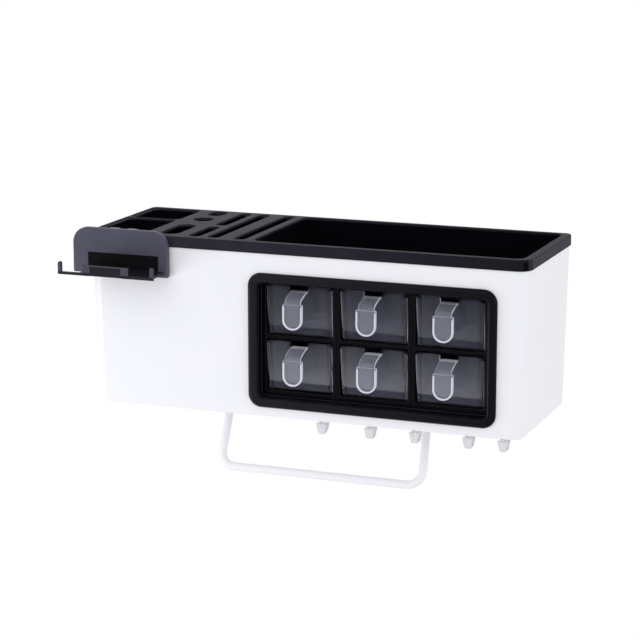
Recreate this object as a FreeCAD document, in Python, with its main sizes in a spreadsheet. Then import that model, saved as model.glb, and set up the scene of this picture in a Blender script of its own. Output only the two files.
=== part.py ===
import FreeCAD, Part
import math
import os
import Sketcher

# A wall-hung kitchen caddy: a white shell, a black top tray with a bin, cutlery cups and knife slots, a black
# cabinet with clear spice drawers, a clip-on phone holder, a folding towel rail and sliding hooks.
# Millimetres. +X is to the right, -Y is out of the wall, +Z is up. The origin is on the wall, midway between
# the two wall plates that carry the caddy.

document = FreeCAD.newDocument("KitchenCaddy")
sheet = document.addObject("Spreadsheet::Sheet", "Sizes")
VECTOR = FreeCAD.Vector
TOUCH = 0.001
# The part of a half width that a rounded end uses; all of it would leave no straight run between the arcs.
ROUND_END = 0.97


# ---------------------------------------------------------------- sizes

class Size:
    """A length worked out from the sheet: its expression for FreeCAD and its value for Python."""

    def __init__(self, text):
        self.text = text

    def __float__(self):
        return float(sheet.evalExpression(self.text))

    def __add__(self, other):
        return Size(f"({self.text} + {text_of(other)})")

    def __radd__(self, other):
        return Size(f"({text_of(other)} + {self.text})")

    def __sub__(self, other):
        return Size(f"({self.text} - {text_of(other)})")

    def __rsub__(self, other):
        return Size(f"({text_of(other)} - {self.text})")

    def __mul__(self, other):
        return Size(f"({self.text} * {text_of(other)})")

    __rmul__ = __mul__

    def __truediv__(self, other):
        return Size(f"({self.text} / {text_of(other)})")

    def __neg__(self):
        return Size(f"(0 - {self.text})")


def text_of(value):
    """The expression text of a Size or of a plain number."""
    return value.text if isinstance(value, Size) else repr(value)


def smaller(first, second):
    """The smaller of two sizes, worked out by the sheet."""
    return Size(f"min({text_of(first)}; {text_of(second)})")


def size(alias, value, meaning):
    """Add one driving size to the sheet and return it."""
    row = len(sheet.getUsedCells()) // 3 + 1
    sheet.set(f"A{row}", alias)
    sheet.set(f"B{row}", str(value))
    sheet.setAlias(f"B{row}", alias)
    sheet.set(f"C{row}", meaning)
    return Size(f"Sizes.{alias}")


# Whole caddy
body_width = size("body_width", 404, "outside width of the rim")
body_depth = size("body_depth", 140, "outside depth of the rim")
body_height = size("body_height", 153.8, "top of the rim to the underside of the shell")
rim_above_mount = size("rim_above_mount", 65, "top of the rim above the middle of the wall plates")
wall_gap = size("wall_gap", 1.2, "rim's back edge to the wall")

# Shell
shell_wall = size("shell_wall", 2, "wall and floor of the shell")
shell_draft = size("shell_draft", 3.6, "how much each side of the shell leans in at the bottom")
shell_edge_round = size("shell_edge_round", 2.4, "rounding of the shell's bottom edge")

# Top tray
rim_round = size("rim_round", 12, "radius of the rim's front corners")
rim_back_round = size("rim_back_round", 6, "radius of the rim's back corners")
rim_height = size("rim_height", 9.5, "height of the rim's outer face")
rim_skirt = size("rim_skirt", 0.8, "thickness of the rim's skirt")
rim_fit = size("rim_fit", 0.2, "gap between the skirt and the shell")
rim_edge_round = size("rim_edge_round", 1.4, "rounding of the rim's top edge")
hole_edge_round = size("hole_edge_round", 1, "rounding of the edges of the tray's openings")
tray_plate = size("tray_plate", 2, "thickness of the tray's top plate")
tray_wall = size("tray_wall", 1.5, "thickness of the bin's and cups' walls")
land_front = size("land_front", 8, "rim's top face in front of the openings")
land_right = size("land_right", 7.5, "rim's top face right of the bin")
land_back = size("land_back", 6, "rim's top face behind the openings")
land_left = size("land_left", 3, "rim's top face left of the cups")
cup_step = size("cup_step", 2.3, "step over the shell's wall inside the rim's left end")
cup_step_depth = size("cup_step_depth", 1.2, "depth of that step")
cup_width = size("cup_width", 46.2, "inside width of the cutlery cups")
cup_split = size("cup_split", 80.5, "front of the rim to the wall between the cups")
cup_divider = size("cup_divider", 2.6, "wall between the cups")
cup_round = size("cup_round", 6, "corner radius of the cups")
cup_floor_gap = size("cup_floor_gap", 7, "underside of the cups to the shell's floor")
bin_round = size("bin_round", 8, "corner radius of the bin")
bin_floor_round = size("bin_floor_round", 4, "rounding along the bin's floor")
knife_box_fit = size("knife_box_fit", 0.6, "hanger's lip to the back of the box under the knife slots")
bin_clearance = size("bin_clearance", 1, "bin, and box under the knife slots, to the drawer cabinet")

# Holes and slots of the top tray's panel, from the cups' right edge and from the rim's front or back edge
hole_column = size("hole_column", 21, "cups' right edge to the line of the three tool holes")
oval_width = size("oval_width", 15, "short way across the back tool hole")
oval_length = size("oval_length", 22, "long way across the back tool hole")
oval_from_back = size("oval_from_back", 16.5, "rim's back edge to the middle of the back tool hole")
round_hole = size("round_hole", 18, "diameter of the round tool hole")
round_from_back = size("round_from_back", 49, "rim's back edge to the middle of the round tool hole")
long_hole_width = size("long_hole_width", 16.5, "short way across the front tool hole")
long_hole_length = size("long_hole_length", 49, "long way across the front tool hole")
long_hole_from_front = size("long_hole_from_front", 37, "rim's front edge to the middle of the front hole")
slot_width = size("slot_width", 10, "width of the knife slots")
slot_from_front = size("slot_from_front", 8.5, "rim's front edge to the front end of the knife slots")
slot_from_back = size("slot_from_back", 7, "rim's back edge to the back end of the knife slots")
slot_one_length = size("slot_one_length", 51, "length of the short knife slot in front")
slot_bridge = size("slot_bridge", 8, "bridge between the two slots in one line")
slot_line_one = size("slot_line_one", 47, "cups' right edge to the first line of slots")
slot_line_two = size("slot_line_two", 65, "cups' right edge to the second line of slots")
slot_line_three = size("slot_line_three", 89.5, "cups' right edge to the third line of slots")
bin_from_slots = size("bin_from_slots", 13.5, "third line of slots to the bin")

# Drawer cabinet
bezel_width = size("bezel_width", 223.8, "outside width of the cabinet's front frame")
bezel_from_right = size("bezel_from_right", 26.5, "rim's right end to the front frame")
bezel_drop = size("bezel_drop", 26.4, "top of the rim to the top of the front frame")
bezel_lift = size("bezel_lift", 8.5, "underside of the shell to the bottom of the front frame")
bezel_border = size("bezel_border", 8.5, "width of the front frame's border")
bezel_proud = size("bezel_proud", 3.6, "how far the front frame stands out of the shell")
bezel_round = size("bezel_round", 12, "outer corner radius of the front frame")
bezel_edge_round = size("bezel_edge_round", 3.4, "rounding of the front frame's edges")
recess_round = size("recess_round", 5, "corner radius of the recess in front of the drawers")
cell_setback = size("cell_setback", 9, "shell's front to the mouths of the drawer cells")
cell_divider = size("cell_divider", 7, "upright wall between two cells")
cell_shelf = size("cell_shelf", 4, "shelf between the two rows of cells")
cell_side_margin = size("cell_side_margin", 4.9, "side of the recess to the first cell")
cell_top_margin = size("cell_top_margin", 1.5, "top of the recess to the top cells")
cell_sill = size("cell_sill", 5.5, "bottom of the recess to the bottom cells")
cell_depth = size("cell_depth", 105, "depth of the cells")
cell_edge_round = size("cell_edge_round", 1.2, "rounding of the edges round the mouths of the cells")
cabinet_wall = size("cabinet_wall", 2, "outer wall of the cabinet")
window_fit = size("window_fit", 0.3, "gap between the cabinet and the window in the shell")
screw_inset = size("screw_inset", 14, "side of the cabinet to its screws")
screw_from_mouth = size("screw_from_mouth", 30, "cell mouths to the first pair of screws")
screw_spacing = size("screw_spacing", 50, "first pair of screws to the second")
screw_shank = size("screw_shank", 3, "diameter of the cabinet screws")
screw_length = size("screw_length", 9, "length of the cabinet screws under the head")
screw_head = size("screw_head", 5.6, "diameter of the screws' heads")
screw_head_height = size("screw_head_height", 1.9, "height of the screws' heads")
screw_fit = size("screw_fit", 0.05, "gap round the screws' shanks")
screw_boss = size("screw_boss", 8, "diameter of the bosses under the cabinet")

# Drawers
drawer_side_fit = size("drawer_side_fit", 0.5, "gap each side of a drawer")
drawer_top_fit = size("drawer_top_fit", 1.3, "gap above a drawer")
drawer_proud = size("drawer_proud", 2.3, "how far a drawer's front stands out of its cell at the top")
drawer_rear_gap = size("drawer_rear_gap", 5, "gap behind a drawer")
drawer_lean = size("drawer_lean", 3.4, "how far a drawer's front leans in at the bottom")
drawer_taper = size("drawer_taper", 0.6, "how much each side of a drawer's front narrows at the bottom")
drawer_front = size("drawer_front", 3, "thickness of a drawer's front")
drawer_wall = size("drawer_wall", 1.6, "thickness of a drawer's walls")
drawer_floor = size("drawer_floor", 1.6, "thickness of a drawer's floor")
drawer_lip = size("drawer_lip", 3.2, "width of the lips that guide a drawer")
drawer_lip_height = size("drawer_lip_height", 1.6, "thickness of the lips that guide a drawer")
drawer_lip_drop = size("drawer_lip_drop", 1.2, "top of a drawer's front to its lips and rim")
drawer_corner = size("drawer_corner", 3, "corner radius at the back of a drawer")
drawer_edge_round = size("drawer_edge_round", 2, "rounding round a drawer's front face")
front_corner = size("front_corner", 3, "corner radius of a drawer's front")
notch_width = size("notch_width", 17.4, "width of the notch for the spoon")
notch_depth = size("notch_depth", 5.6, "depth of the notch for the spoon")
notch_round = size("notch_round", 0.8, "corner radius of the notch")

# Spoons
spoon_neck = size("spoon_neck", 14.2, "width of the spoon's neck in the notch")
spoon_plate = size("spoon_plate", 1.8, "thickness of the spoon's strip")
tongue_width = size("tongue_width", 17.8, "width of the tongue in front of the drawer")
tongue_length = size("tongue_length", 26.4, "height of the tongue")
tongue_reach = size("tongue_reach", 14, "drawer's front to the tongue's back face at the top")
tongue_drop = size("tongue_drop", 4.6, "how far the neck falls from the notch to the tongue")
tongue_rim = size("tongue_rim", 1.4, "width of the raised edge round the tongue")
tongue_rim_height = size("tongue_rim_height", 1.1, "height of the raised edge round the tongue")
spoon_bend = size("spoon_bend", 2.6, "inside bend radius of the spoon's strip")
spoon_shaft_run = size("spoon_shaft_run", 25.2, "how far back the shaft runs from the notch to the scoop")
scoop_width = size("scoop_width", 19, "outside width of the scoop")
scoop_length = size("scoop_length", 26, "outside length of the scoop")
scoop_height = size("scoop_height", 9, "outside height of the scoop")
scoop_wall = size("scoop_wall", 1.2, "wall of the scoop")
scoop_round = size("scoop_round", 5, "corner radius of the scoop")
scoop_floor_gap = size("scoop_floor_gap", 0.3, "underside of the scoop to the drawer's floor")
spoon_shifts = [size(f"spoon_shift_{word}", shift, f"{word} notch's middle to the spoon's middle")
                for word, shift in (("first", 0.7), ("second", -0.7), ("third", -0.4),
                                    ("fourth", 0.7), ("fifth", 0), ("sixth", 0))]

# Phone holder
holder_width = size("holder_width", 91, "width of the holder's plate")
holder_overhang = size("holder_overhang", 10.6, "how far the plate stands past the rim's left end")
holder_rise = size("holder_rise", 4.2, "top of the plate above the rim")
holder_drop = size("holder_drop", 33, "top of the rim to the underside of the holder")
holder_plate = size("holder_plate", 4.6, "thickness of the holder's plate")
holder_standoff = size("holder_standoff", 1.1, "rim's front face to the back of the plate")
holder_fit = size("holder_fit", 0.3, "gap between the holder and the rim")
holder_corner = size("holder_corner", 14, "radius of the plate's top corners")
holder_edge_round = size("holder_edge_round", 0.8, "rounding of the plate's front edge")
holder_skirt = size("holder_skirt", 3.2, "how far the plate reaches below the ledge")
ledge_reach = size("ledge_reach", 30, "plate's front face to the ledge's front edge")
ledge_plate = size("ledge_plate", 2.2, "thickness of the ledge")
ledge_inset_left = size("ledge_inset_left", 20, "plate's left edge to the ledge")
ledge_inset_right = size("ledge_inset_right", 3, "plate's right edge to the ledge")
bar_depth = size("bar_depth", 3, "depth of the bar along the ledge's front")
prong_width = size("prong_width", 3, "width of the two prongs")
prong_height = size("prong_height", 8.8, "height of the two prongs above the ledge")
lip_width = size("lip_width", 44, "width of the ledge's middle lip")
lip_height = size("lip_height", 7.2, "height of the ledge's middle lip")
lip_plate = size("lip_plate", 2.4, "thickness of the ledge's middle lip")
lip_end = size("lip_end", 7, "width of the lip's raised ends")
lip_recess = size("lip_recess", 0.8, "depth of the hollow between the lip's raised ends")
pad_width = size("pad_width", 68, "width of the holder's grip pad")
pad_shift = size("pad_shift", 3, "how far the grip pad sits right of the plate's middle")
pad_height = size("pad_height", 13.4, "height of the holder's grip pad")
pad_depth = size("pad_depth", 1.2, "depth of the pad's seat in the plate")
pad_fit = size("pad_fit", 0.1, "gap round the pad")
clip_width = size("clip_width", 8.5, "width of each clip over the rim")
clip_first = size("clip_first", 31, "plate's left edge to the first clip")
clip_spacing = size("clip_spacing", 17, "first clip to the second")
clip_plate = size("clip_plate", 3, "thickness of the clips")
clip_drop = size("clip_drop", 9, "how far the clips reach down behind the rim's front")

# Towel rail
rail_rod = size("rail_rod", 7.4, "diameter of the rail's rod")
rail_width = size("rail_width", 185.6, "distance between the rail's legs at the pivot")
rail_flare = size("rail_flare", 2.3, "how much further out each leg stands at the crossbar")
rail_length = size("rail_length", 56.4, "pivot to the middle of the crossbar")
rail_lean = size("rail_lean", 21.6, "angle by which the rail leans forward, in degrees")
rail_offset = size("rail_offset", 4.9, "middle of the caddy to the middle of the rail")
rail_from_front = size("rail_from_front", 53.5, "shell's front to the rail's pivot")
rail_pivot_drop = size("rail_pivot_drop", 5.6, "underside of the shell to the rail's pivot")
rail_corner = size("rail_corner", 13, "bend radius at the crossbar")
rail_stub_bend = size("rail_stub_bend", 7.5, "bend radius at the pivot ends")
rail_stub = size("rail_stub", 10, "straight length of the pivot ends")
rail_fit = size("rail_fit", 0.05, "gap round the pivot ends")
lug_width = size("lug_width", 8, "width of the lugs that hold the rail")
lug_wall = size("lug_wall", 2.2, "wall of the lugs round the bore")
lug_side_fit = size("lug_side_fit", 0.5, "gap between a lug and the rail's bend")

# Hooks
hook_from_right = size("hook_from_right", 23.5, "rim's right end to the last hook")
hook_gap_one = size("hook_gap_one", 44.3, "first hook to the second")
hook_gap_two = size("hook_gap_two", 40.8, "second hook to the third")
hook_gap_three = size("hook_gap_three", 47.8, "third hook to the fourth")
hook_gap_four = size("hook_gap_four", 30.9, "fourth hook to the last")
hook_from_front = size("hook_from_front", 18.5, "shell's front to the line of the hooks")
hook_width = size("hook_width", 11, "width of a hook at the top")
hook_tip_width = size("hook_tip_width", 5, "width of a hook at the bottom")
hook_drop = size("hook_drop", 15, "underside of the shell to the bottom of a hook")
hook_plate = size("hook_plate", 2.2, "thickness of a hook")
hook_throat = size("hook_throat", 4.5, "gap between a hook's stem and its tip")
hook_tip_height = size("hook_tip_height", 10.5, "height of a hook's upturned tip")
hook_neck = size("hook_neck", 3.6, "thickness of a hook's neck in the slot")
hook_neck_length = size("hook_neck_length", 8, "length of a hook's neck along the slot")
hook_head = size("hook_head", 9, "size of a hook's square head")
hook_head_height = size("hook_head_height", 2, "height of a hook's head")
hook_slot_fit = size("hook_slot_fit", 0.2, "gap each side of a hook's neck")
hook_floor_fit = size("hook_floor_fit", 0.4, "gap between a hook's shoulder and the shell's underside")
hook_end_travel = size("hook_end_travel", 12, "slot beyond the middles of the first and the last hook")
hook_entry = size("hook_entry", 10, "square opening at the slot's left end through which the hooks go in")

# Wall plates
plate_width = size("plate_width", 70, "width of a wall plate")
plate_height = size("plate_height", 90, "height of a wall plate")
plate_thickness = size("plate_thickness", 2, "thickness of a wall plate")
plate_round = size("plate_round", 8, "corner radius of a wall plate")
plate_from_end = size("plate_from_end", 92, "rim's end to the middle of the nearest wall plate")
plate_hole = size("plate_hole", 4.5, "diameter of the screw holes in the wall plates")
plate_hole_spacing = size("plate_hole_spacing", 70, "distance between a wall plate's two screw holes")
adhesive_thickness = size("adhesive_thickness", 1, "thickness of the adhesive pads")
adhesive_inset = size("adhesive_inset", 3, "edge of a wall plate to its adhesive pad")
hanger_width = size("hanger_width", 30, "width of the hanger on a wall plate")
hanger_top = size("hanger_top", 20, "middle of a wall plate to the hanger's top face")
hanger_plate = size("hanger_plate", 3, "thickness of the hanger")
hanger_lip = size("hanger_lip", 9, "height of the hanger's upturned lip")
hanger_lip_plate = size("hanger_lip_plate", 2, "thickness of the hanger's upturned lip")
hanger_fit = size("hanger_fit", 0.4, "gap between the hanger and the shell")
document.recompute()

# Places that several pieces share
left_end = -body_width / 2
right_end = body_width / 2
rim_top = rim_above_mount
rim_back = -wall_gap
rim_front = rim_back - body_depth
shell_inset = rim_skirt + rim_fit
shell_front = rim_front + shell_inset
shell_back = -(adhesive_thickness + plate_thickness)
shell_top = rim_top - tray_plate
shell_bottom = rim_top - body_height
shell_floor_top = shell_bottom + shell_wall
shell_round = rim_round - shell_inset
shell_back_round = rim_back_round - shell_inset
step_left = left_end + land_left
cup_left = step_left + cup_step
cup_right = cup_left + cup_width
opening_front = rim_front + land_front
opening_back = rim_back - land_back
bin_left = cup_right + slot_line_three + bin_from_slots
bin_right = right_end - land_right
bezel_right = right_end - bezel_from_right
bezel_left = bezel_right - bezel_width
bezel_top = rim_top - bezel_drop
bezel_bottom = shell_bottom + bezel_lift
bezel_front = shell_front - bezel_proud
recess_left = bezel_left + bezel_border
recess_right = bezel_right - bezel_border
recess_top = bezel_top - bezel_border
recess_bottom = bezel_bottom + bezel_border
tube_left = recess_left - cabinet_wall
tube_right = recess_right + cabinet_wall
tube_top = recess_top + cabinet_wall
tube_bottom = recess_bottom - cabinet_wall
cell_mouth = shell_front + cell_setback
cell_back = cell_mouth + cell_depth
cabinet_back = cell_back + cabinet_wall
cell_width = (recess_right - recess_left - 2 * cell_side_margin - 2 * cell_divider) / 3
cell_height = (recess_top - recess_bottom - cell_top_margin - cell_sill - cell_shelf) / 2
bin_floor = tube_top + bin_clearance + tray_wall
hook_line = shell_front + hook_from_front
rail_pivot_y = shell_front + rail_from_front
rail_pivot_z = shell_bottom - rail_pivot_drop
lug_inner = rail_width / 2 + rail_stub_bend + lug_side_fit
lug_outer = lug_inner + lug_width
plate_middles = (left_end + plate_from_end, right_end - plate_from_end)


# ---------------------------------------------------------------- sketches and features

def bind(thing, path, value):
    """Tie one property or constraint of a feature to a size."""
    if isinstance(value, Size):
        thing.setExpression(path, value.text)


def constrain(sketch, *details):
    """Add a constraint; a trailing Size becomes its expression as well as its starting value."""
    value = details[-1]
    if isinstance(value, Size):
        index = sketch.addConstraint(Sketcher.Constraint(*details[:-1], float(value)))
        bind(sketch, f"Constraints[{index}]", value)
    else:
        sketch.addConstraint(Sketcher.Constraint(*details))


def pin_down(sketch, geometry, point, across, up):
    """Hold a point of the sketch at a place measured from the sketch's origin."""
    constrain(sketch, "DistanceX", -1, 1, geometry, point, as_size(across))
    constrain(sketch, "DistanceY", -1, 1, geometry, point, as_size(up))


def as_size(value):
    """A Size from a Size or a plain number."""
    return value if isinstance(value, Size) else Size(repr(float(value)))


def draw(sketch, corners, closed=True):
    """Draw straight runs from corner to corner; a corner is (across, up) or (across, up, radius)."""
    count = len(corners)
    places = [VECTOR(float(corner[0]), float(corner[1]), 0) for corner in corners]
    radii = [corner[2] if len(corner) > 2 else 0 for corner in corners]
    turns = []
    for index, place in enumerate(places):
        radius = float(radii[index])
        rounded = radius > 0 and (closed or 0 < index < count - 1)
        if not rounded:
            turns.append((place, place, None, 0))
            continue
        before = (places[index - 1] - place).normalize()
        after = (places[(index + 1) % count] - place).normalize()
        half = before.getAngle(after) / 2
        start = place + before * (radius / math.tan(half))
        end = place + after * (radius / math.tan(half))
        centre = place + (before + after).normalize() * (radius / math.sin(half))
        leftwards = (before.x * after.y - before.y * after.x) < 0
        turns.append((start, end, centre, 1 if leftwards else -1))
    lines = []
    for index in range(count if closed else count - 1):
        run = Part.LineSegment(turns[index][1], turns[(index + 1) % count][0])
        lines.append(sketch.addGeometry(run, False))
    for index, place in enumerate(places):
        marker = sketch.addGeometry(Part.Point(place), True)
        pin_down(sketch, marker, 1, corners[index][0], corners[index][1])
        before = lines[index - 1] if closed or index > 0 else None
        after = lines[index] if closed or index < count - 1 else None
        start, end, centre, sense = turns[index]
        if centre is None:
            if before is not None:
                constrain(sketch, "Coincident", before, 2, marker, 1)
            if after is not None:
                constrain(sketch, "Coincident", after, 1, marker, 1)
            continue
        first, last = (start, end) if sense > 0 else (end, start)
        circle = Part.Circle(centre, VECTOR(0, 0, 1), float(radii[index]))
        angles = [math.atan2(point.y - centre.y, point.x - centre.x) for point in (first, last)]
        arc = sketch.addGeometry(Part.ArcOfCircle(circle, *angles), False)
        constrain(sketch, "Tangent", before, 2, arc, 1 if sense > 0 else 2)
        constrain(sketch, "Tangent", after, 1, arc, 2 if sense > 0 else 1)
        constrain(sketch, "PointOnObject", marker, 1, before)
        constrain(sketch, "PointOnObject", marker, 1, after)
        constrain(sketch, "Radius", arc, as_size(radii[index]))


def polygon(*corners):
    """A closed outline through corners."""
    return lambda sketch: draw(sketch, corners)


def rectangle(left, bottom, right, top, radius=0):
    """A closed rectangle, with rounded corners where a radius is given."""
    return polygon((left, bottom, radius), (right, bottom, radius), (right, top, radius), (left, top, radius))


def circle(across, up, diameter):
    """A full circle."""
    def outline(sketch):
        ring = sketch.addGeometry(Part.Circle(VECTOR(float(across), float(up), 0), VECTOR(0, 0, 1),
                                              float(diameter) / 2), False)
        pin_down(sketch, ring, 3, across, up)
        constrain(sketch, "Radius", ring, diameter / 2)
    return outline


def stadium(across, low, high, width):
    """A slot that runs up the sketch from low to high, with half-round ends."""
    def outline(sketch):
        middle, bottom, top, radius = (float(value) for value in (across, low, high, width / 2))
        ends = []
        for up, place, first, last in ((bottom + radius, low + width / 2, math.pi, 2 * math.pi),
                                       (top - radius, high - width / 2, 0, math.pi)):
            round_end = Part.Circle(VECTOR(middle, up, 0), VECTOR(0, 0, 1), radius)
            ends.append(sketch.addGeometry(Part.ArcOfCircle(round_end, first, last), False))
            pin_down(sketch, ends[-1], 3, across, place)
        right = sketch.addGeometry(Part.LineSegment(VECTOR(middle + radius, bottom + radius, 0),
                                                    VECTOR(middle + radius, top - radius, 0)), False)
        left = sketch.addGeometry(Part.LineSegment(VECTOR(middle - radius, top - radius, 0),
                                                   VECTOR(middle - radius, bottom + radius, 0)), False)
        constrain(sketch, "Tangent", ends[0], 2, right, 1)
        constrain(sketch, "Tangent", right, 2, ends[1], 1)
        constrain(sketch, "Tangent", ends[1], 2, left, 1)
        constrain(sketch, "Tangent", left, 2, ends[0], 1)
        constrain(sketch, "Radius", ends[0], width / 2)
    return outline


def new_body(label):
    """A body for one piece; its label is the piece's name."""
    body = document.addObject("PartDesign::Body", label)
    body.Label = label
    pieces.append(body)
    return body


def sketch_on(body, plane, height, outlines):
    """A sketch parallel to one of the body's origin planes, at a height along that plane's normal."""
    sketch = body.newObject("Sketcher::SketchObject", f"{body.Label}_sketch")
    base = next(item for item in body.Origin.OriginFeatures if item.Role == f"{plane}_Plane")
    sketch.AttachmentSupport = [(base, "")]
    sketch.MapMode = "FlatFace"
    bind(sketch, "AttachmentOffset.Base.z", as_size(height))
    for outline in outlines:
        outline(sketch)
    return sketch


def add(body, plane, low, high, *outlines, taper=None, downwards=False):
    """Pad outlines between two coordinates along the axis that the sketch plane faces."""
    at_low = plane != "XZ" and not downwards
    height = low if at_low else high
    sketch = sketch_on(body, plane, -height if plane == "XZ" else height, outlines)
    pad = body.newObject("PartDesign::Pad", f"{body.Label}_pad")
    pad.Profile = sketch
    pad.Reversed = downwards
    bind(pad, "Length", high - low)
    if taper is not None:
        bind(pad, "TaperAngle", taper)
    body.Tip = pad
    return pad


def cut(body, plane, low, high, *outlines, taper=None):
    """Cut outlines out of a body between two coordinates along the axis that the sketch plane faces."""
    before = volume_of(body)
    sketch = sketch_on(body, plane, -low if plane == "XZ" else high, outlines)
    pocket = body.newObject("PartDesign::Pocket", f"{body.Label}_pocket")
    pocket.Profile = sketch
    bind(pocket, "Length", high - low)
    if taper is not None:
        bind(pocket, "TaperAngle", taper)
    body.Tip = pocket
    if volume_of(body) >= before:
        raise RuntimeError(f"A cut in {body.Label} removes nothing")
    return pocket


def volume_of(body):
    """The body's volume once everything is worked out."""
    document.recompute()
    return body.Tip.Shape.Volume


def round_edges(body, radius, chosen):
    """Round the edges of a body that a test picks."""
    document.recompute()
    base = body.Tip
    names = [f"Edge{index + 1}" for index, edge in enumerate(base.Shape.Edges) if chosen(edge)]
    if not names:
        raise RuntimeError(f"No edge to round in {body.Label}")
    fillet = body.newObject("PartDesign::Fillet", f"{body.Label}_fillet")
    fillet.Base = (base, names)
    bind(fillet, "Radius", radius)
    body.Tip = fillet
    return fillet


def extent(edge, axis):
    """The lowest and highest coordinate of an edge along an axis."""
    box = edge.BoundBox
    return {"X": (box.XMin, box.XMax), "Y": (box.YMin, box.YMax), "Z": (box.ZMin, box.ZMax)}[axis]


def lies_at(edge, axis, place):
    """Whether an edge lies flat at one coordinate."""
    low, high = extent(edge, axis)
    return abs(low - float(place)) < TOUCH and abs(high - float(place)) < TOUCH


def is_upright(edge):
    """Whether an edge runs from the bottom of the shell to its top."""
    low, high = extent(edge, "Z")
    return high - low > float(shell_top - shell_bottom) / 2


def between(edge, axis, low, high):
    """Whether an edge stays between two coordinates."""
    first, last = extent(edge, axis)
    return first > float(low) - TOUCH and last < float(high) + TOUCH


def place_at(body, across, along, up):
    """Tie a body's place to sizes."""
    bind(body, "Placement.Base.x", as_size(across))
    bind(body, "Placement.Base.y", as_size(along))
    bind(body, "Placement.Base.z", as_size(up))


def copy_of(original, label):
    """A piece with the same shape as another one, placed on its own."""
    body = new_body(label)
    twin = body.newObject("PartDesign::FeatureBase", f"{label}_copy")
    twin.BaseFeature = original
    body.Tip = twin
    return body


pieces = []


# ---------------------------------------------------------------- shell

def make_shell():
    """White outer shell: open at the top, with a window for the cabinet, lugs for the rail and slots."""
    shell = new_body("shell_body")
    side = body_width / 2 - shell_inset
    foot = side - shell_draft
    add(shell, "XZ", shell_front, shell_back,
        polygon((-side, shell_top), (-foot, shell_bottom), (foot, shell_bottom), (side, shell_top)))
    for depth, radius in ((shell_front, shell_round), (shell_back, shell_back_round)):
        round_edges(shell, radius, lambda edge: lies_at(edge, "Y", depth) and is_upright(edge))
    round_edges(shell, shell_edge_round, lambda edge: lies_at(edge, "Z", shell_bottom))
    hollow_out(shell)
    add_rail_lugs(shell)
    cut(shell, "XZ", shell_front, shell_front + shell_wall,
        rectangle(tube_left - window_fit, tube_bottom - window_fit,
                  tube_right + window_fit, tube_top + window_fit))
    hang_top = hanger_top
    hang_low = hang_top - hanger_plate - hanger_lip - hanger_fit
    half = hanger_width / 2 + hanger_fit
    cut(shell, "XZ", shell_back - shell_wall, shell_back,
        *[rectangle(middle - half, hang_low, middle + half, hang_top) for middle in plate_middles])
    cut(shell, "XY", shell_bottom, shell_floor_top, hook_slot,
        *[circle(x, y, screw_shank + 2 * screw_fit) for x, y in screw_places()])
    return shell


def hook_slot(sketch):
    """The slot that the hooks slide in, with a square opening at its left end."""
    half = hook_neck / 2 + hook_slot_fit
    entry_half = hook_entry / 2
    left = hook_places()[0] - hook_end_travel
    right = hook_places()[-1] + hook_end_travel
    draw(sketch, [(left, hook_line - half), (right, hook_line - half), (right, hook_line + half),
                  (left, hook_line + half), (left, hook_line + entry_half),
                  (left - hook_entry, hook_line + entry_half), (left - hook_entry, hook_line - entry_half),
                  (left, hook_line - entry_half)])


def hollow_out(shell):
    """Leave the shell's wall and floor, open at the top."""
    document.recompute()
    base = shell.Tip
    faces = [f"Face{index + 1}" for index, face in enumerate(base.Shape.Faces)
             if abs(face.BoundBox.ZMin - float(shell_top)) < TOUCH]
    wall = shell.newObject("PartDesign::Thickness", "shell_hollow")
    wall.Base = (base, faces)
    wall.Reversed = True
    wall.Mode = "Skin"
    wall.Join = "Intersection"
    bind(wall, "Value", shell_wall)
    shell.Tip = wall


def add_rail_lugs(shell):
    """Two lugs under the floor whose bores hold the rail's ends."""
    radius = rail_rod / 2 + rail_fit + lug_wall
    for side in (-1, 1):
        ends = sorted((rail_offset + side * lug_inner, rail_offset + side * lug_outer), key=float)
        add(shell, "YZ", ends[0], ends[1],
            polygon((rail_pivot_y - radius, shell_floor_top - shell_wall / 2),
                    (rail_pivot_y - radius, rail_pivot_z - radius, radius * ROUND_END),
                    (rail_pivot_y + radius, rail_pivot_z - radius, radius * ROUND_END),
                    (rail_pivot_y + radius, shell_floor_top - shell_wall / 2)))
        cut(shell, "YZ", ends[0], ends[1], circle(rail_pivot_y, rail_pivot_z, rail_rod + 2 * rail_fit))


def screw_places():
    """Where the four cabinet screws stand, seen from above."""
    rows = (cell_mouth + screw_from_mouth, cell_mouth + screw_from_mouth + screw_spacing)
    return [(x, y) for x in (tube_left + screw_inset, tube_right - screw_inset) for y in rows]


def hook_places():
    """Where the hooks stand along X, from left to right."""
    last = right_end - hook_from_right
    fourth = last - hook_gap_four
    third = fourth - hook_gap_three
    second = third - hook_gap_two
    return [second - hook_gap_one, second, third, fourth, last]


# ---------------------------------------------------------------- top tray

def rim_outline(inset):
    """The rim's outline seen from above, moved inwards: larger front corners than back ones."""
    front_round = rim_round - inset
    back_round = rim_back_round - inset
    return polygon((left_end + inset, rim_front + inset, front_round),
                   (right_end - inset, rim_front + inset, front_round),
                   (right_end - inset, rim_back - inset, back_round),
                   (left_end + inset, rim_back - inset, back_round))


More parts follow.
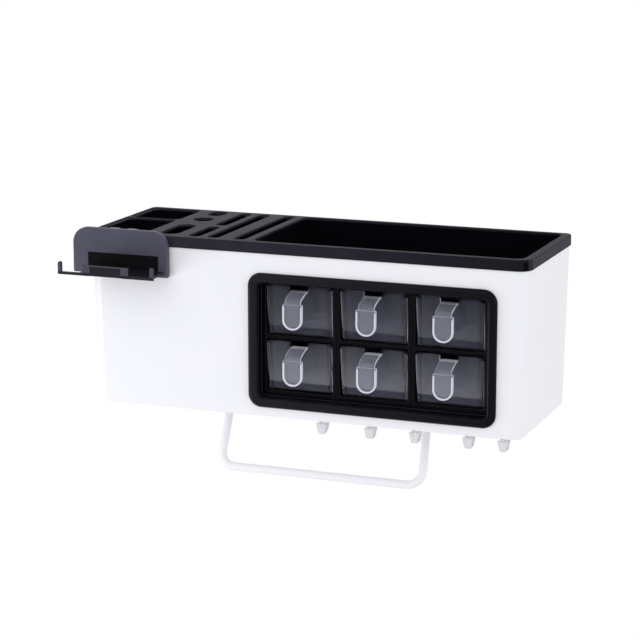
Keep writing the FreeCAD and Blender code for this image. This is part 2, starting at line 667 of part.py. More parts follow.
def make_top_tray():
    """Black top tray: rim, panel with holes and slots, two cutlery cups, a box for the knives and the bin."""
    tray = new_body("top_tray")
    add(tray, "XY", rim_top - rim_height, rim_top, rim_outline(0.0))
    round_edges(tray, rim_edge_round, lambda edge: lies_at(edge, "Z", rim_top))
    cut(tray, "XY", rim_top - rim_height, rim_top - tray_plate, rim_outline(rim_skirt))
    draft = Size(f"(-1 * atan({(shell_draft / (body_height - tray_plate)).text}))")
    cup_bottom = shell_floor_top + cup_floor_gap
    add(tray, "XY", cup_bottom, rim_top - tray_plate,
        rectangle(cup_left - tray_wall, opening_front - tray_wall,
                  cup_right + tray_wall, opening_back + tray_wall, cup_round + tray_wall),
        taper=draft, downwards=True)
    add(tray, "XY", bin_floor - tray_wall, rim_top - tray_plate,
        rectangle(bin_left - tray_wall, opening_front - tray_wall,
                  bin_right + tray_wall, opening_back + tray_wall, bin_round + tray_wall))
    knife_back = shell_back - shell_wall - hanger_fit - hanger_lip_plate - knife_box_fit
    knife_right = smaller(bin_left - tray_wall / 2, tube_left - bin_clearance)
    add(tray, "XY", cup_bottom, rim_top - tray_plate,
        rectangle(cup_right, opening_front - tray_wall, knife_right, knife_back, cup_round + tray_wall),
        taper=draft, downwards=True)
    cut(tray, "XY", cup_bottom + tray_wall, rim_top - tray_plate,
        rectangle(cup_right + tray_wall, opening_front,
                  knife_right - tray_wall, knife_back - tray_wall, cup_round),
        taper=draft)
    split = rim_front + cup_split
    cut(tray, "XY", cup_bottom + tray_wall, rim_top,
        rectangle(cup_left, opening_front, cup_right, split - cup_divider / 2, cup_round),
        rectangle(cup_left, split + cup_divider / 2, cup_right, opening_back, cup_round),
        taper=draft)
    cut(tray, "XY", rim_top - cup_step_depth, rim_top,
        rectangle(step_left, opening_front, cup_right, split - cup_divider / 2, cup_round),
        rectangle(step_left, split + cup_divider / 2, cup_right, opening_back, cup_round))
    cut(tray, "XY", bin_floor, rim_top,
        rectangle(bin_left, opening_front, bin_right, opening_back, bin_round))
    round_edges(tray, bin_floor_round, lambda edge: lies_at(edge, "Z", bin_floor))
    cut_panel_holes(tray)
    inside = left_end + rim_edge_round + TOUCH * 2, right_end - rim_edge_round - TOUCH * 2
    round_edges(tray, hole_edge_round,
                lambda edge: lies_at(edge, "Z", rim_top) and is_opening_edge(edge, inside))
    return tray


def is_opening_edge(edge, inside):
    """Whether an edge of the tray's top face belongs to an opening and not to the rim's outline."""
    return (between(edge, "X", inside[0], inside[1])
            and between(edge, "Y", opening_front, opening_back))


def cut_panel_holes(tray):
    """Three tool holes and four knife slots."""
    column = cup_right + hole_column
    oval_middle = rim_back - oval_from_back
    long_middle = rim_front + long_hole_from_front
    slot_front = rim_front + slot_from_front
    slot_back = rim_back - slot_from_back
    slot_one_end = slot_front + slot_one_length
    cut(tray, "XY", rim_top - tray_plate, rim_top,
        stadium(column, oval_middle - oval_length / 2, oval_middle + oval_length / 2, oval_width),
        circle(column, rim_back - round_from_back, round_hole),
        stadium(column, long_middle - long_hole_length / 2, long_middle + long_hole_length / 2,
                long_hole_width),
        stadium(cup_right + slot_line_one, slot_front, slot_one_end, slot_width),
        stadium(cup_right + slot_line_one, slot_one_end + slot_bridge, slot_back, slot_width),
        stadium(cup_right + slot_line_two, slot_front, slot_back, slot_width),
        stadium(cup_right + slot_line_three, slot_front, slot_back, slot_width))


# ---------------------------------------------------------------- drawer cabinet

def make_drawer_cabinet():
    """Black cabinet: a raised front frame, a recess and six cells open at the back, screwed to the floor."""
    cabinet = new_body("drawer_cabinet")
    mouths_left = recess_left + cell_side_margin
    mouths_right = recess_right - cell_side_margin
    mouths_low = recess_bottom + cell_sill
    mouths_high = recess_top - cell_top_margin
    add(cabinet, "XZ", bezel_front, shell_front,
        rectangle(bezel_left, bezel_bottom, bezel_right, bezel_top, bezel_round))
    add(cabinet, "XZ", shell_front, cell_back, rectangle(tube_left, tube_bottom, tube_right, tube_top))
    add(cabinet, "XY", shell_floor_top, tube_bottom, *[circle(x, y, screw_boss) for x, y in screw_places()])
    cut(cabinet, "XZ", bezel_front, cell_mouth,
        rectangle(recess_left, recess_bottom, recess_right, recess_top, recess_round))
    round_edges(cabinet, bezel_edge_round, lambda edge: lies_at(edge, "Y", bezel_front))
    cut(cabinet, "XZ", cell_mouth, cell_back,
        *[rectangle(x - cell_width / 2, z, x + cell_width / 2, z + cell_height) for x, z in cell_places()])
    round_edges(cabinet, cell_edge_round,
                lambda edge: (lies_at(edge, "Y", cell_mouth) and between(edge, "X", mouths_left, mouths_right)
                              and between(edge, "Z", mouths_low, mouths_high)))
    cut(cabinet, "XY", shell_floor_top, shell_bottom + screw_length,
        *[circle(x, y, screw_shank + 2 * screw_fit) for x, y in screw_places()])
    return cabinet


def make_cabinet_back():
    """Black plate that is welded on the cabinet's back end and closes the cells."""
    back = new_body("cabinet_back")
    add(back, "XZ", cell_back, cabinet_back, rectangle(tube_left, tube_bottom, tube_right, tube_top))


def cell_places():
    """Middle and floor of each cell, from the top left to the bottom right."""
    pitch = cell_width + cell_divider
    first = recess_left + cell_side_margin + cell_width / 2
    low_floor = recess_bottom + cell_sill
    high_floor = low_floor + cell_height + cell_shelf
    return [(first + column * pitch, floor) for floor in (high_floor, low_floor) for column in range(3)]


def make_cabinet_screws():
    """Four screws, one group of separate solids, through the shell's floor into the cabinet's bosses."""
    screws = []
    for number, (x, y) in enumerate(screw_places()):
        shank = document.addObject("Part::Cylinder", f"screw_shank_{number}")
        bind(shank, "Radius", screw_shank / 2)
        bind(shank, "Height", screw_length)
        place_at(shank, x, y, shell_bottom)
        head = document.addObject("Part::Cone", f"screw_head_{number}")
        bind(head, "Radius1", screw_head / 2 - screw_head_height / 2)
        bind(head, "Radius2", screw_head / 2)
        bind(head, "Height", screw_head_height)
        place_at(head, x, y, shell_bottom - screw_head_height)
        screw = document.addObject("Part::Fuse", f"screw_{number}")
        screw.Base = shank
        screw.Tool = head
        screws.append(screw)
    group = document.addObject("Part::Compound", "cabinet_screws")
    group.Label = "cabinet_screws"
    group.Links = screws
    pieces.append(group)


# ---------------------------------------------------------------- drawers and spoons

panel_width = cell_width - 2 * drawer_side_fit
panel_height = cell_height - drawer_top_fit
box_half = panel_width / 2 - drawer_lip
box_back = drawer_proud + cell_depth - drawer_rear_gap
box_top = panel_height - drawer_lip_drop


def lies_on_front(edge):
    """Whether an edge lies in the leaning front face of a drawer."""
    height = float(panel_height)
    lean = float(drawer_lean) / height
    return all(abs(corner.Y - lean * (height - corner.Z)) < TOUCH for corner in edge.Vertexes)


def make_drawer(label):
    """Clear drawer: a leaning front with a notch, an open box and lips that guide it in the cell."""
    drawer = new_body(label)
    half = panel_width / 2
    slope = drawer_lean / panel_height
    add(drawer, "YZ", -half, half,
        polygon((0.0, panel_height), (drawer_lean, 0.0),
                (drawer_lean + drawer_front, 0.0), (drawer_front, panel_height)))
    margin = drawer_front
    cut(drawer, "XZ", -margin, drawer_lean + 2 * drawer_front,
        rectangle(-half - margin, -margin, half + margin, panel_height + margin),
        polygon((-half + drawer_taper, 0.0, front_corner), (half - drawer_taper, 0.0, front_corner),
                (half, panel_height, front_corner), (-half, panel_height, front_corner)))
    round_edges(drawer, drawer_edge_round, lies_on_front)
    add(drawer, "XY", 0.0, box_top,
        polygon((-box_half, drawer_lean + drawer_front / 2), (box_half, drawer_lean + drawer_front / 2),
                (box_half, box_back, drawer_corner), (-box_half, box_back, drawer_corner)))
    lean_at_top = drawer_front / 2
    add(drawer, "YZ", -box_half, box_half,
        polygon((lean_at_top, box_top), (drawer_lean + drawer_front / 2, 0.0),
                (drawer_lean + drawer_front, 0.0), (drawer_lean + drawer_front, box_top)))
    inner_back = box_back - drawer_wall
    inner_half = box_half - drawer_wall
    low_front = drawer_lean + drawer_front - slope * drawer_floor
    top_front = drawer_front + slope * drawer_lip_drop
    cut(drawer, "YZ", -inner_half, inner_half,
        polygon((low_front, drawer_floor), (inner_back, drawer_floor, drawer_corner - drawer_wall),
                (inner_back, box_top), (top_front, box_top)))
    for side in (-1, 1):
        ends = sorted((side * (box_half - drawer_wall), side * (half - drawer_taper)), key=float)
        add(drawer, "XZ", drawer_front, box_back - drawer_corner,
            rectangle(ends[0], box_top - drawer_lip_height, ends[1], box_top))
    cut(drawer, "XZ", -margin, drawer_lean + drawer_front,
        rectangle(-notch_width / 2, panel_height - notch_depth,
                  notch_width / 2, panel_height + margin, notch_round))
    return drawer


def make_spoon(label):
    """Clear spoon: a tongue to pull on in front, a neck through the notch, a shaft and a scoop behind."""
    spoon = new_body(label)
    neck_low = panel_height - notch_depth
    neck_top = neck_low + spoon_plate
    tongue_back = -tongue_reach
    tongue_front = tongue_back - spoon_plate
    knee = neck_low - tongue_drop
    tongue_bottom = knee - tongue_length + spoon_plate
    tongue_top = knee - spoon_bend
    scoop_low = drawer_floor + scoop_floor_gap
    scoop_top = scoop_low + scoop_height
    shaft_start = drawer_front + spoon_plate
    shaft_end = shaft_start + spoon_shaft_run
    outer_bend = spoon_bend + spoon_plate
    add(spoon, "YZ", -spoon_neck / 2, spoon_neck / 2,
        polygon((tongue_back, tongue_top - spoon_bend), (tongue_back, knee, spoon_bend),
                (-spoon_plate, neck_low, spoon_bend), (shaft_start, neck_low, spoon_bend),
                (shaft_end, scoop_top - spoon_plate, spoon_bend),
                (shaft_end + spoon_plate, scoop_top - spoon_plate),
                (shaft_end + spoon_plate, scoop_top), (shaft_end, scoop_top, outer_bend),
                (shaft_start, neck_top, outer_bend), (-spoon_plate, neck_top, outer_bend),
                (tongue_front, knee + spoon_plate, outer_bend), (tongue_front, tongue_top - spoon_bend)))
    add(spoon, "XZ", tongue_front, tongue_back, tongue_outline(0, tongue_bottom, tongue_top))
    add(spoon, "XZ", tongue_front - tongue_rim_height, tongue_front,
        tongue_outline(0, tongue_bottom, tongue_top), tongue_outline(tongue_rim, tongue_bottom, tongue_top))
    add(spoon, "XY", scoop_low, scoop_top,
        rectangle(-scoop_width / 2, shaft_end, scoop_width / 2, shaft_end + scoop_length, scoop_round))
    cut(spoon, "XY", scoop_low + scoop_wall, scoop_top,
        rectangle(-scoop_width / 2 + scoop_wall, shaft_end + scoop_wall, scoop_width / 2 - scoop_wall,
                  shaft_end + scoop_length - scoop_wall, scoop_round - scoop_wall))
    return spoon


def tongue_outline(inset, bottom, top):
    """The tongue seen from the front: square shoulders and a half-round end."""
    half = tongue_width / 2 - inset
    shoulder = top - inset
    end = bottom + inset
    return polygon((-half, shoulder), (-half, end, half * ROUND_END),
                   (half, end, half * ROUND_END), (half, shoulder))


def make_drawers_and_spoons():
    """Six drawers and six spoons; the first of each is modelled and the others are its copies."""
    drawer = None
    spoon = None
    for number, (x, floor) in enumerate(cell_places(), start=1):
        drawer = drawer or make_drawer("drawer_1")
        spoon = spoon or make_spoon("spoon_1")
        box = drawer if number == 1 else copy_of(drawer, f"drawer_{number}")
        scoop = spoon if number == 1 else copy_of(spoon, f"spoon_{number}")
        place_at(box, x, cell_mouth - drawer_proud, floor)
        place_at(scoop, x + spoon_shifts[number - 1], cell_mouth - drawer_proud, floor)


# ---------------------------------------------------------------- phone holder

holder_left = left_end - holder_overhang
holder_right = holder_left + holder_width
holder_top = rim_top + holder_rise
ledge_low = rim_top - holder_drop
ledge_top = ledge_low + ledge_plate
holder_low = ledge_low - holder_skirt
holder_back = rim_front - holder_standoff
holder_front = holder_back - holder_plate
ledge_front = holder_front - ledge_reach
holder_middle = (holder_left + holder_right) / 2
pad_left = holder_middle + pad_shift - pad_width / 2
pad_right = pad_left + pad_width


def make_phone_holder():
    """Black plate with a ledge, a lip and two prongs, hung over the rim by two clips."""
    holder = new_body("phone_holder")
    add(holder, "XZ", holder_front, holder_back,
        polygon((holder_left, holder_low, ledge_plate / 2), (holder_right, holder_low, ledge_plate / 2),
                (holder_right, holder_top, holder_corner), (holder_left, holder_top, holder_corner)))
    round_edges(holder, holder_edge_round, lambda edge: lies_at(edge, "Y", holder_front))
    cut(holder, "XZ", holder_front, holder_front + pad_depth,
        rectangle(pad_left, ledge_top, pad_right, ledge_top + pad_height))
    add(holder, "XY", ledge_low, ledge_top,
        rectangle(holder_left + ledge_inset_left, ledge_front, holder_right - ledge_inset_right,
                  holder_front + holder_edge_round))
    add(holder, "XY", ledge_low, ledge_top,
        rectangle(holder_left, ledge_front, holder_right, ledge_front + bar_depth))
    for left in (holder_left, holder_right - prong_width):
        add(holder, "XZ", ledge_front, ledge_front + bar_depth,
            polygon((left, ledge_low), (left + prong_width, ledge_low),
                    (left + prong_width, ledge_top + prong_height, prong_width / 2 * ROUND_END),
                    (left, ledge_top + prong_height, prong_width / 2 * ROUND_END)))
    lip_left = holder_middle - lip_width / 2
    lip_right = holder_middle + lip_width / 2
    add(holder, "XZ", ledge_front, ledge_front + lip_plate,
        rectangle(lip_left, ledge_low, lip_right, ledge_top + lip_height))
    cut(holder, "XZ", ledge_front, ledge_front + lip_recess,
        rectangle(lip_left + lip_end, ledge_low, lip_right - lip_end, ledge_top + lip_height - lip_recess))
    for first in (holder_left + clip_first, holder_left + clip_first + clip_spacing):
        add_clip(holder, first)
    return holder


def add_clip(holder, left):
    """One clip: a block behind the plate, a strap over the rim and a leg down inside the cup."""
    inner = opening_front + holder_fit
    add(holder, "YZ", left, left + clip_width,
        polygon((holder_back - holder_plate / 2, rim_top - rim_height),
                (rim_front - holder_fit, rim_top - rim_height), (rim_front - holder_fit, rim_top),
                (inner, rim_top), (inner, rim_top - clip_drop),
                (inner + clip_plate, rim_top - clip_drop),
                (inner + clip_plate, rim_top + clip_plate, clip_plate * ROUND_END),
                (holder_back - holder_plate / 2, rim_top + clip_plate)))


def make_phone_pad():
    """Black grip pad in the plate, just above the ledge."""
    pad = new_body("phone_pad")
    add(pad, "XZ", holder_front, holder_front + pad_depth,
        rectangle(pad_left + pad_fit, ledge_top + pad_fit,
                  pad_right - pad_fit, ledge_top + pad_height - pad_fit))


# ---------------------------------------------------------------- towel rail and hooks

def make_towel_rail():
    """White rod bent to a U, whose ends turn outwards into the lugs; modelled about its pivot."""
    rail = new_body("towel_rail")
    half = rail_width / 2
    foot = half + rail_flare
    end = half + rail_stub_bend + rail_stub
    route = sketch_on(rail, "XZ", 0.0, [lambda sketch: draw(sketch, [
        (-end, 0.0), (-half, 0.0, rail_stub_bend), (-foot, -rail_length, rail_corner),
        (foot, -rail_length, rail_corner), (half, 0.0, rail_stub_bend), (end, 0.0)], closed=False)])
    section = sketch_on(rail, "YZ", -end, [circle(0.0, 0.0, rail_rod)])
    pipe = rail.newObject("PartDesign::AdditivePipe", "towel_rail_pipe")
    pipe.Profile = section
    pipe.Spine = route
    rail.Tip = pipe
    place_at(rail, rail_offset, rail_pivot_y, rail_pivot_z)
    rail.setExpression("Placement.Rotation.Axis.x", "1")
    rail.setExpression("Placement.Rotation.Axis.z", "0")
    rail.setExpression("Placement.Rotation.Angle", f"0 - {rail_lean.text}")
    return rail


def make_hook(label):
    """White see-through hook: a head and neck in the slot, a stem and an upturned tip."""
    hook = new_body(label)
    stem_back = hook_neck / 2
    stem_front = stem_back - hook_plate
    tip_back = stem_front - hook_throat
    tip_front = tip_back - hook_plate
    bottom = -hook_drop
    inner_floor = bottom + hook_plate
    inner_round = hook_throat / 2 * ROUND_END
    outer_round = inner_round + hook_plate
    shoulder = -hook_floor_fit
    add(hook, "YZ", -hook_width / 2, hook_width / 2,
        polygon((stem_front, shoulder), (stem_front, inner_floor, inner_round),
                (tip_back, inner_floor, inner_round),
                (tip_back, bottom + hook_tip_height, hook_plate / 2 * ROUND_END),
                (tip_front, bottom + hook_tip_height, hook_plate / 2 * ROUND_END),
                (tip_front, bottom, outer_round), (stem_back, bottom, outer_round), (stem_back, shoulder)))
    half = hook_width / 2
    tip_half = hook_tip_width / 2
    margin = hook_plate
    cut(hook, "XZ", tip_front - margin, stem_back + margin,
        rectangle(-half - margin, bottom - margin, half + margin, shoulder + margin),
        polygon((-half, shoulder), (-tip_half, bottom, hook_plate),
                (tip_half, bottom, hook_plate), (half, shoulder)))
    neck_half = hook_neck_length / 2
    add(hook, "XY", shoulder - hook_plate / 2, shell_wall,
        rectangle(-neck_half, -hook_neck / 2, neck_half, hook_neck / 2))
    head_half = hook_head / 2
    add(hook, "XY", shell_wall, shell_wall + hook_head_height,
        rectangle(-head_half, -head_half, head_half, head_half))
    return hook


def make_hooks():
    """Five hooks; the first is modelled and the others are its copies."""
    first = None
    for number, x in enumerate(hook_places(), start=1):
        first = first or make_hook("hook_1")
        hook = first if number == 1 else copy_of(first, f"hook_{number}")
        place_at(hook, x, hook_line, shell_bottom)


# ---------------------------------------------------------------- wall plates

def make_wall_plate(label, middle):
    """White plate on the wall, with a tongue that the shell's back hangs on and two screw holes."""
    plate = new_body(label)
    half = plate_width / 2
    tall = plate_height / 2
    front = shell_back
    add(plate, "XZ", front, -adhesive_thickness,
        rectangle(middle - half, -tall, middle + half, tall, plate_round))
    tongue_top = hanger_top
    lip_back = shell_back - shell_wall - hanger_fit
    lip_front = lip_back - hanger_lip_plate
    tongue_half = hanger_width / 2
    add(plate, "YZ", middle - tongue_half, middle + tongue_half,
        polygon((front + plate_thickness / 2, tongue_top - hanger_plate),
                (lip_front, tongue_top - hanger_plate), (lip_front, tongue_top + hanger_lip),
                (lip_back, tongue_top + hanger_lip), (lip_back, tongue_top),
                (front + plate_thickness / 2, tongue_top)))
    cut(plate, "XZ", front, -adhesive_thickness, *plate_holes(middle))
    return plate


def make_adhesive_pad(label, middle):
    """Foam adhesive pad between a plate and the wall."""
    pad = new_body(label)
    half = plate_width / 2 - adhesive_inset
    tall = plate_height / 2 - adhesive_inset
    add(pad, "XZ", -adhesive_thickness, Size("0"),
        rectangle(middle - half, -tall, middle + half, tall, plate_round - adhesive_inset))
    cut(pad, "XZ", -adhesive_thickness, Size("0"), *plate_holes(middle))
    return pad


def plate_holes(middle):
    """The two screw holes of a wall plate."""
    return [circle(middle, up, plate_hole) for up in (-plate_hole_spacing / 2, plate_hole_spacing / 2)]


# ---------------------------------------------------------------- build, check and export

def check():
    """Stop if any object failed or any piece isn't a sound solid."""
    document.recompute()
    for thing in document.Objects:
        if "Invalid" in thing.State or "Error" in thing.State:
            raise RuntimeError(f"{thing.Label} failed: {thing.State}")
    for piece in pieces:
        if piece.Shape.isNull() or not piece.Shape.isValid() or not piece.Shape.Solids:
            raise RuntimeError(f"{piece.Label} isn't a sound solid")


def main():
    """Make every piece, check them and write one STEP file for each."""
    make_shell()
    make_top_tray()
    make_drawer_cabinet()
    make_cabinet_back()
    make_cabinet_screws()
    make_drawers_and_spoons()
    make_phone_holder()
    make_phone_pad()
    make_towel_rail()
    make_hooks()
    for side, middle in zip(("left", "right"), plate_middles):
        make_wall_plate(f"wall_plate_{side}", middle)
        make_adhesive_pad(f"adhesive_pad_{side}", middle)
    check()
    os.makedirs("parts", exist_ok=True)
    for piece in pieces:
        piece.Shape.exportStep(f"parts/{piece.Label}.step")
        box = piece.Shape.BoundBox
        print(f"{piece.Label:18s} solids {len(piece.Shape.Solids)}  volume {piece.Shape.Volume:10.1f}  "
              f"x {box.XMin:7.1f} {box.XMax:7.1f}  y {box.YMin:7.1f} {box.YMax:7.1f}  "
              f"z {box.ZMin:7.1f} {box.ZMax:7.1f}")


main()
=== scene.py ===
"""Dresses the kitchen caddy: finishes for its moulded, clear, foam and steel parts, and its studio."""

import math

import bmesh
import bpy
from bpy.props import FloatProperty, FloatVectorProperty, PointerProperty
from mathutils import Matrix, Vector


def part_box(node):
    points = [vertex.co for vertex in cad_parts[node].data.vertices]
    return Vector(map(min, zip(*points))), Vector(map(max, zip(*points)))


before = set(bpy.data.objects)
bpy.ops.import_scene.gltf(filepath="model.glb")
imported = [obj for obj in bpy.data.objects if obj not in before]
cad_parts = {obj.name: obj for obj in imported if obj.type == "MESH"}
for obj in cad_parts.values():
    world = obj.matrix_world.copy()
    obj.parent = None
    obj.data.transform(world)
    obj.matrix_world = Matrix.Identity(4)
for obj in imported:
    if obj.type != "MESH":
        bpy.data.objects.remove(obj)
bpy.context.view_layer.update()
MILLIMETRE = 0.001
DRAWER_ROWS = {"upper": (1, 2, 3), "lower": (4, 5, 6)}
HOOK_COUNT = 5

# Gloss of the black plastics: index of refraction, and specular level
SOFT_GLOSS = (1.05, 0.5)
DEEP_GLOSS = (1.5, 0.085)
SATIN_GLOSS = (1.5, 0.15)

# Tones that no user would change
WORN_AND_HIGHLIT_BLACK = (0.25, 0.25, 0.28)
COOL_GLOSS = (0.80, 0.82, 1.0)
BLUE_GLOSS = (0.72, 0.74, 1.0)
COOL_DRIFT = (0.965, 0.97, 1.0)
WHITE_LIFT = 1.01
WHITE_STOP = (1.0, 1.0, 1.0, 1.0)
BLACK_STOP = (0.0, 0.0, 0.0, 1.0)

# Lowest and highest roughness of each finish
SHELL_ROUGHNESS = (0.27, 0.33)
RAIL_ROUGHNESS = (0.31, 0.37)
PLATE_ROUGHNESS = (0.37, 0.43)
TRAY_ROUGHNESS = (0.25, 0.35)
CABINET_ROUGHNESS = (0.17, 0.27)
HOLDER_ROUGHNESS = (0.35, 0.45)
DRAWER_ROUGHNESS = (0.02, 0.06)
SPOON_ROUGHNESS = (0.04, 0.08)
HOOK_ROUGHNESS = (0.22, 0.32)
FOAM_ROUGHNESS = (0.82, 0.94)
STEEL_ROUGHNESS = (0.28, 0.44)

# Spacing of the soft blotches in each finish
BLACK_CLOUD = 30.0 * MILLIMETRE
BLACK_SCUFF = 4.0 * MILLIMETRE
CLEAR_CLOUD = 20.0 * MILLIMETRE
HOOK_CLOUD = 4.0 * MILLIMETRE
STEEL_MARK = 0.4 * MILLIMETRE
STEEL_STRETCH = (1.0, 1.0, 6.0)
PAD_CELL = 0.9 * MILLIMETRE
ADHESIVE_CELL = 1.2 * MILLIMETRE

# Spacings that follow another size: as multiples of the ripple size, and for foam of its cell
WHITE_DRIFT = 7.0
CLEAR_RIPPLE = 0.8
HOOK_RIPPLE = 0.4
FOAM_CLOUD = 8.0

# Depth of the bumps, which for foam is a share of its cell
WHITE_DEPTH = 0.03 * MILLIMETRE
CLEAR_DEPTH = 0.05 * MILLIMETRE
HOOK_DEPTH = 0.03 * MILLIMETRE
STEEL_DEPTH = 0.01 * MILLIMETRE
TRAY_GRAIN_DEPTH = 0.006 * MILLIMETRE
CABINET_GRAIN_DEPTH = 0.003 * MILLIMETRE
HOLDER_GRAIN_DEPTH = 0.01 * MILLIMETRE
FOAM_PIT_DEPTH = 0.15

# Edges: reach of the paler edges (partly wear, partly a painted highlight) and rounding of clear plastic, as
# multiples of the edge rounding
WEAR_AND_HIGHLIGHT_REACH = 1.4
CLEAR_ROUND = 0.8

# Paler edges, partly wear and partly a painted highlight: likeness of the rounded and the true normal where
# they are full and where they end, and what the wear roughens
EDGE_FULL = 0.86
EDGE_NONE = 0.995
WEAR_ROUGHNESS = 0.1

# Black plastic: its darkest painted shade, and how far the painted light on the lip, the rim's and the
# frame's right ends lifts them from it
SHADE = 0.12
LIP_PAINTED_LIGHT = 0.7
RIM_RIGHT_PAINTED_LIGHT = 0.3
FRAME_RIGHT_PAINTED_LIGHT = 0.15

# How far the holder's plate, the tray's rim and the frame round the drawers reach
PLATE_MARGIN = 0.4 * MILLIMETRE
RIM_MARGIN = 2.0 * MILLIMETRE
FRAME_DEPTH = 8.0 * MILLIMETRE

# Clear plastic: haze, which for the drawers also carries painted light (the lower row's drawers paler, their
# fronts paler towards the bottom), and how sharply and strongly painted highlights sit on the edges
DRAWER_HAZE_AND_PAINTED_LIGHT = {"upper": 0.08, "lower": 0.16}
SPOON_HAZE = 0.08
INNER_HAZE = 0.1
FRONT_FOCUS = 12.0
LEFT_FOCUS = 3.0
LEFT_PAINTED_HIGHLIGHT = 0.9
SIDE_FOCUS = 6.0
RIM_PAINTED_HIGHLIGHT = 0.65

# How far the drawers' fronts, the spoons' necks, tongues and raised edges reach back, and the tongue's start
DRAWER_RIM = 2.6 * MILLIMETRE
SPOON_RIM = 4.0 * MILLIMETRE
TONGUE_DEPTH = 3.2 * MILLIMETRE
RIM_DEPTH = 0.9 * MILLIMETRE
TONGUE_DROP = 10.6 * MILLIMETRE

# Studio, in metres and watts: each softbox has a name, a place, a width and a power
BACKGROUND_RAYS = ("Is Camera Ray", "Is Glossy Ray", "Is Transmission Ray")
SOFTBOXES = (
    ("key_lamp", (-0.9, -2.4, 1.6), 2.4, 9.0),
    ("side_lamp", (1.9, -0.9, 0.3), 1.2, 8.0),
    ("low_lamp", (-0.75, -0.6, -0.3), 0.4, 2.3),
)
SOFTBOX_TARGET = (0.0, -0.07, 0.0)
FLOOR_SIZE = 6.0
FLOOR_CELLS = 8
FLOOR_TONE = 0.9

# Camera: angles in degrees, distances in metres, sensor and lens in millimetres
CAMERA_TURN = 20.922
CAMERA_RISE = 12.304
CAMERA_TARGET = (0.0, -0.0712, 0.065)
CAMERA_DISTANCE = 1.985815
CAMERA_LEFT = 0.007777
CAMERA_DOWN = 0.077361
SENSOR_WIDTH = 36.0
LENS = 127.133606

bl_info = {
    "name": "Kitchen Caddy Finishes",
    "version": (1, 0, 0),
    "blender": (4, 5, 0),
    "location": "3D View > Sidebar > Caddy",
    "description": "Gives a wall-hung kitchen caddy its plastics, clear drawers and studio",
    "category": "Object",
}


# ---------------------------------------------------------------- sizes and colours

def length(name, description, default):
    """A length property, whose default is given in millimetres."""
    return FloatProperty(name=name, description=description, default=default * MILLIMETRE, min=0.0,
                         subtype="DISTANCE", unit="LENGTH", precision=5)


def colour(name, description, default):
    """A colour property."""
    return FloatVectorProperty(name=name, description=description, default=default, size=3, min=0.0, max=1.0,
                               subtype="COLOR")


def share(name, description, default):
    """A number from 0 to 1."""
    return FloatProperty(name=name, description=description, default=default, min=0.0, max=1.0,
                         subtype="FACTOR")


class CaddyColours(bpy.types.PropertyGroup):
    """Colours of the caddy's parts"""

    shell: colour("Shell", "White of the outer shell", (0.88, 0.885, 0.92))
    tray: colour("Tray", "Black of the top tray", (0.030, 0.030, 0.042))
    cabinet: colour("Cabinet", "Black of the drawer cabinet", (0.012, 0.012, 0.016))
    holder: colour("Phone holder", "Black of the phone holder", (0.078, 0.077, 0.11))
    pad: colour("Grip pad", "Black of the holder's grip pad", (0.006, 0.006, 0.007))
    clear: colour("Clear plastic", "Tint of the drawers and spoons", (0.86, 0.87, 0.98))
    rail: colour("Rail", "White of the towel rail and the wall plates", (0.87, 0.87, 0.90))
    hook: colour("Hooks", "Milky white of the hooks", (0.88, 0.89, 0.92))
    foam: colour("Adhesive foam", "Grey of the adhesive pads", (0.42, 0.42, 0.40))
    steel: colour("Screws", "Steel of the cabinet's screws", (0.56, 0.56, 0.57))


class CaddyFinish(bpy.types.PropertyGroup):
    """Surface detail of the caddy's plastics"""

    edge_round: length("Edge rounding", "Radius at which sharp moulded edges catch the light", 0.5)
    grain: length("Grain size", "Spacing of the fine moulded grain", 0.6)
    ripple: length("Ripple size", "Spacing of the slow waves in glossy plastic", 14.0)
    # Paler edges of the black plastics: partly wear, partly a painted highlight
    wear_and_highlight: share("Edge wear", "How much paler the black plastics are along their edges", 0.6)


class CaddyStage(bpy.types.PropertyGroup):
    """Floor, surroundings and their light"""

    floor_drop: length("Floor drop", "Distance from the caddy's origin down to the floor", 900.0)
    light: share("Light level", "Brightness of the light from all around", 0.76)
    background: colour("Background", "Colour of the floor and the surroundings", (1.0, 1.0, 1.0))


# ---------------------------------------------------------------- shader maths

class Signal:
    """A node's output; arithmetic and comparisons on it add Math nodes."""

    def __init__(self, finish, socket):
        self.finish = finish
        self.socket = socket

    def __add__(self, other):
        return self.finish.math("ADD", self, other)

    __radd__ = __add__

    def __sub__(self, other):
        return self.finish.math("SUBTRACT", self, other)

    def __rsub__(self, other):
        return self.finish.math("SUBTRACT", other, self)

    def __mul__(self, other):
        return self.finish.math("MULTIPLY", self, other)

    __rmul__ = __mul__

    def __pow__(self, other):
        return self.finish.math("POWER", self, other)

    def __abs__(self):
        return self.finish.math("ABSOLUTE", self)

    def __lt__(self, other):
        return self.finish.math("LESS_THAN", self, other)

    def __gt__(self, other):
        return self.finish.math("GREATER_THAN", self, other)

    def at_least(self, other):
        """The larger of two values."""
        return self.finish.math("MAXIMUM", self, other)

    def at_most(self, other):
        """The smaller of two values."""
        return self.finish.math("MINIMUM", self, other)

    def mix(self, low, high):
        """The colour low where this is 0 and high where it is 1."""
        return self.finish.node("ShaderNodeMix", {"data_type": "RGBA"}, {0: self, 6: low, 7: high}, 2)


